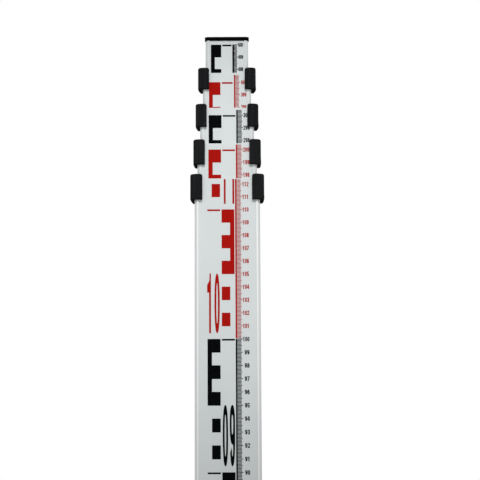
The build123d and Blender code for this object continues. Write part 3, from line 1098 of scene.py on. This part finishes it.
@dataclass(frozen=True)
class BlindRivets:
    """The rivets of one section's catches: bevelled, crowned heads with hollows in their middles."""

    section: int
    count: int = 2
    shank: float = 1.0 * MM
    rise: float = 0.5 * MM
    bevel: float = 0.2 * MM
    crown: float = 0.15 * MM
    hollow: float = 0.6 * MM
    hollow_depth: float = 0.45 * MM
    side_wall: float = 1.3 * MM
    sides: int = 24

    def form(self, head: float, length: float) -> Piece:
        """Turns one rivet along X, with the seat of its head at the origin.

        Args:
            head: The head's radius.
            length: The shank's length.

        Returns:
            The rivet.
        """
        floor = self.rise - self.hollow_depth
        outline = (
            (-length, 0.0),
            (-length, self.shank),
            (0.0, self.shank),
            (0.0, head),
            (self.rise - self.bevel, head),
            (self.rise, head - self.bevel),
            (self.rise + self.crown, self.hollow),
            (floor, self.hollow),
            (floor, 0.0),
        )
        form = bmesh.new()
        points = [form.verts.new((x, radius, 0.0)) for x, radius in outline]
        lines = [form.edges.new(pair) for pair in zip(points, points[1:])]
        bmesh.ops.spin(form, geom=points + lines, axis=(1, 0, 0), angle=math.tau, steps=self.sides)
        bmesh.ops.remove_doubles(form, verts=form.verts[:], dist=WELD)
        bmesh.ops.recalc_face_normals(form, faces=form.faces[:])
        return bpy.data.objects.new("blind_rivet", mesh_of(form, "blind_rivet"))

    def fit(self, tree: RivetTree, aluminium: Material) -> Piece:
        """Sets the rivets where the CAD node has them.

        Args:
            tree: The tree that repeats the rivet.
            aluminium: The rivets' material.

        Returns:
            The rivets as one piece, riding on their section.
        """
        node = f"clip_rivets_{self.section}"
        low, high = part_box(node)
        head = (high.y - low.y) / 2
        seat = high.x - self.rise
        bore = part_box(f"section_{self.section}")[1].x - self.side_wall
        name = f"blind_rivets_{self.section}"
        group = group_of(name, [self.form(head, seat - bore)])
        piece = put_in_scene(name, bpy.data.meshes.new(name))
        tree.put_on(piece, {
            "Rivets": self.count,
            "Seat": seat,
            "Spacing": (high.z - low.z - 2 * head) / (self.count - 1),
            "First Height": low.z + head,
            "Face": (low.y + high.y) / 2,
            "Finish": aluminium,
            "Forms": group,
        })
        settle(piece)
        smooth(piece)
        discard(group)
        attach(piece, f"section_{self.section}")
        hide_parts(node)
        return piece


@dataclass(frozen=True)
class TopCap:
    """The cap on the innermost section, which overhangs the tube's sides at its front corners alone."""

    node: str = "top_cap"
    section: str = "section_5"
    corner: float = 2.5 * MM
    taper: float = 2.0 * MM

    def fit(self, plastic: Material) -> Piece:
        """Fits a cap that is drawn in to the tube's width behind its front corners.

        Args:
            plastic: The cap's material.

        Returns:
            The cap, riding on its section.
        """
        low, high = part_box(self.node)
        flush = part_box(self.section)[1].x / high.x
        front = low.y + self.corner
        cap = merged_copy(self.node, "tapered_cap", plastic)
        form = bmesh.new()
        form.from_mesh(cap.data)
        for depth in (front, front + self.taper):
            parts = form.verts[:] + form.edges[:] + form.faces[:]
            bmesh.ops.bisect_plane(form, geom=parts, plane_co=(0, depth, 0), plane_no=(0, 1, 0))
        for point in form.verts:
            share = min(max((point.co.y - front) / self.taper, 0.0), 1.0)
            point.co.x *= 1.0 + share * (flush - 1.0)
        form.to_mesh(cap.data)
        form.free()
        smooth(cap)
        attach(cap, self.section)
        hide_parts(self.node)
        return cap


class EndFittings:
    """The foot cap, the guide shoes and the fasteners."""

    def dress(self, materials: Mapping[Finish, Material]) -> None:
        """Gives the fittings their finishes.

        Args:
            materials: The materials by finish.
        """
        paint("foot_cap", materials[Finish.CAP_PLASTIC])
        paint("foot_screws", materials[Finish.STEEL])
        for number in SECTIONS[1:]:
            paint(f"guide_shoe_{number}", materials[Finish.GUIDE_PLASTIC])
            paint(f"shoe_rivets_{number}", materials[Finish.RIVET_ALUMINIUM])


@dataclass(frozen=True)
class Studio:
    """The camera, the lights, the white surround and the floor."""

    camera_place: Triple = (9.71 * MM, -783.87 * MM, 988.04 * MM)
    camera_pitch: float = 6.55
    camera_roll: float = 0.3
    lens: float = 75.0
    sensor: float = 36.0
    floor_radius: float = 2.5
    floor_sides: int = 96
    floor_white: float = 0.4
    floor_tones: tuple[Colour, Colour] = ((0.8, 0.8, 0.8), (0.83, 0.83, 0.83))
    floor_grain: Grain = Grain((40.0, 40.0, 40.0))
    floor_roughness: float = 0.8
    fade_start: float = 0.3
    fade_end: float = 2.0
    ambient: float = 0.44
    overhead: float = 0.3
    key_place: Triple = (0.15, -1.2, 2.35)
    key_target: Triple = (0.0, 0.0, 1.09)
    key_power: float = 66.6
    key_radius: float = 0.04
    key_cone: float = 10.96
    seen_rays: tuple[str, str, str] = ("Camera", "Glossy", "Transmission")

    def camera(self) -> None:
        """Stands the camera where the photograph was taken from."""
        upright = math.pi / 2 + math.radians(self.camera_pitch)
        roll = -math.radians(self.camera_roll)
        data = bpy.data.cameras.new("camera")
        data.lens = self.lens
        data.sensor_width = self.sensor
        camera = put_in_scene("camera", data)
        turn = Matrix.Rotation(upright, 4, "X") @ Matrix.Rotation(roll, 4, "Z")
        camera.matrix_world = Matrix.Translation(self.camera_place) @ turn
        bpy.context.scene.camera = camera

    def seen(self, bench: NodeBench) -> Flow:
        """One for what is seen straight, mirrored or through glass, and zero for what only lights."""
        rays = [bench.add("ShaderNodeLightPath", output=f"Is {ray} Ray") for ray in self.seen_rays]
        return rays[0].at_least(rays[1]).at_least(rays[2])

    def surround(self) -> None:
        """Makes a world that is white to look at and lights the staff plainly."""
        world = bpy.data.worlds.new("studio_surround")
        world.use_nodes = True
        bpy.context.scene.world = world
        bench = NodeBench(world.node_tree)
        background = world.node_tree.nodes["Background"]
        background.inputs["Color"].default_value = (1.0, 1.0, 1.0, 1.0)
        direction = bench.add("ShaderNodeTexCoord", output="Generated")
        upward = bench.add("ShaderNodeSeparateXYZ", inputs={0: direction}, output=2)
        plain = self.ambient + upward * self.overhead
        bench.feed(background.inputs["Strength"], plain + self.seen(bench) * (1.0 - plain))

    def key(self) -> None:
        """Hangs a soft lamp in front of the staff's upper end."""
        data = bpy.data.lights.new("key_lamp", "SPOT")
        data.shadow_soft_size = self.key_radius
        data.spot_size = math.radians(self.key_cone)
        data.spot_blend = 1.0
        data.energy = self.key_power
        aim = Vector(self.key_target) - Vector(self.key_place)
        turn = aim.to_track_quat("-Z", "Y").to_matrix().to_4x4()
        put_in_scene("key_lamp", data).matrix_world = Matrix.Translation(self.key_place) @ turn

    def floor(self) -> None:
        """Lays a pale round floor under the staff, which fades into the white surround."""
        disc = bmesh.new()
        bmesh.ops.create_circle(disc, cap_ends=True, segments=self.floor_sides, radius=self.floor_radius)
        mesh = mesh_of(disc, "studio_floor")
        bench = SurfaceBench("studio_floor_paint")
        tone = bench.blend(*self.floor_tones, bench.noise(self.floor_grain))
        mesh.materials.append(bench.dress(Base_Color=tone, Roughness=self.floor_roughness))
        away = (bench.axis(0) * bench.axis(0) + bench.axis(1) * bench.axis(1)).root()
        fade = bench.ramp(away, self.fade_start, self.fade_end)
        white = bench.add("ShaderNodeEmission", inputs={"Strength": 1.0})
        paint_and_white = bench.add("ShaderNodeMixShader", inputs={
            0: self.seen(bench) * (self.floor_white + fade * (1.0 - self.floor_white)),
            1: Flow(bench, bench.shader.outputs["BSDF"]),
            2: white,
        })
        bench.feed(bench.tree.nodes["Material Output"].inputs["Surface"], paint_and_white)
        floor = put_in_scene("studio_floor", mesh)

    def build(self) -> None:
        """Sets up the whole studio."""
        bpy.context.scene.view_settings.view_transform = "Standard"
        self.camera()
        self.surround()
        self.key()
        self.floor()


def put_in_scene(name: str, data: bpy.types.ID) -> Piece:
    """Makes an object and links it to the scene.

    Args:
        name: The object's name.
        data: Its mesh, camera or lamp.

    Returns:
        The object.
    """
    made = bpy.data.objects.new(name, data)
    bpy.context.scene.collection.objects.link(made)
    return made


def mesh_of(form: bmesh.types.BMesh, name: str) -> bpy.types.Mesh:
    """Turns a form into a mesh and frees the form.

    Args:
        form: The form.
        name: The mesh's name.

    Returns:
        The mesh.
    """
    mesh = bpy.data.meshes.new(name)
    form.to_mesh(mesh)
    form.free()
    return mesh


def group_of(name: str, forms: Iterable[Piece]) -> bpy.types.Collection:
    """Puts forms in a collection that no scene shows.

    Args:
        name: The collection's name.
        forms: The forms, in order.

    Returns:
        The collection.
    """
    group = bpy.data.collections.new(name)
    for form in forms:
        group.objects.link(form)
    return group


def discard(group: bpy.types.Collection) -> None:
    """Removes a collection and the forms in it.

    Args:
        group: The collection.
    """
    for form in list(group.objects):
        bpy.data.objects.remove(form)
    bpy.data.collections.remove(group)


def paint(node: str, material: Material) -> None:
    """Gives a CAD node one material.

    Args:
        node: The node's name.
        material: The material.
    """
    for place in frame["nodes"][node].material_slots:
        place.material = material
    log.info("dressed %s in %s", node, material.name)


def report(deed: str, piece: Piece) -> None:
    """Logs what was done to a piece, and its number of faces."""
    log.info("%s %s with %d faces", deed, piece.name, len(piece.data.polygons))


def merged_copy(node: str, name: str, material: Material) -> Piece:
    """Copies a CAD node and merges its doubled points.

    Args:
        node: The node's name.
        name: The copy's name.
        material: The copy's material.

    Returns:
        The copy.
    """
    form = bmesh.new()
    form.from_mesh(frame["nodes"][node].data)
    bmesh.ops.remove_doubles(form, verts=form.verts[:], dist=WELD)
    mesh = mesh_of(form, name)
    mesh.materials.append(material)
    return put_in_scene(name, mesh)


def smooth(piece: Piece) -> None:
    """Shades a piece smoothly, but not across its sharp edges."""
    piece.data.polygons.foreach_set("use_smooth", [True] * len(piece.data.polygons))
    piece.data.set_sharp_from_angle(angle=SHARP)


def settle(piece: Piece) -> None:
    """Turns a piece's geometry trees into a plain mesh.

    Args:
        piece: The piece.
    """
    depsgraph = bpy.context.evaluated_depsgraph_get()
    mesh = bpy.data.meshes.new_from_object(piece.evaluated_get(depsgraph))
    piece.modifiers.clear()
    piece.data = mesh


def trim(piece: Piece, bottom: float, top: float) -> None:
    """Cuts off what stands below or above two heights and closes the cuts.

    Args:
        piece: The piece.
        bottom: The height of the lower cut.
        top: The height of the upper cut.
    """
    form = bmesh.new()
    form.from_mesh(piece.data)
    for height, outwards in ((bottom, -1), (top, 1)):
        parts = form.verts[:] + form.edges[:] + form.faces[:]
        bmesh.ops.bisect_plane(
            form, geom=parts, plane_co=(0, 0, height), plane_no=(0, 0, outwards), clear_outer=True
        )
        bmesh.ops.holes_fill(form, edges=[edge for edge in form.edges if edge.is_boundary])
    form.to_mesh(piece.data)
    form.free()


def main() -> None:
    """Dresses the staff and sets up the studio."""
    logging.basicConfig(level=logging.INFO, format="%(name)s: %(message)s")
    sections = {
        number: StaffSection(number, top, share)
        for number, top, share in zip(SECTIONS, SCALE_TOPS, CROWN_HIGHLIGHT_SHARES)
    }
    for section in sections.values():
        section.dress()
    press = ScalePress()
    for run in RUNS:
        report("printed", sections[run.section].print_scale(run, press))
    press.clear()
    materials = {finish: finish.value.material() for finish in Finish}
    rivet_tree = RivetTree()
    for number in CATCH_SECTIONS:
        for side in Side:
            catch = SideCatch(number, side)
            catch.dress(materials)
            report("fitted", catch.fit_spring(materials[Finish.STEEL]))
        report("fitted", BlindRivets(number).fit(rivet_tree, materials[Finish.RIVET_ALUMINIUM]))
    report("fitted", TopCap().fit(materials[Finish.CAP_PLASTIC]))
    EndFittings().dress(materials)
    Studio().build()


if __name__ == "__main__":
    main()
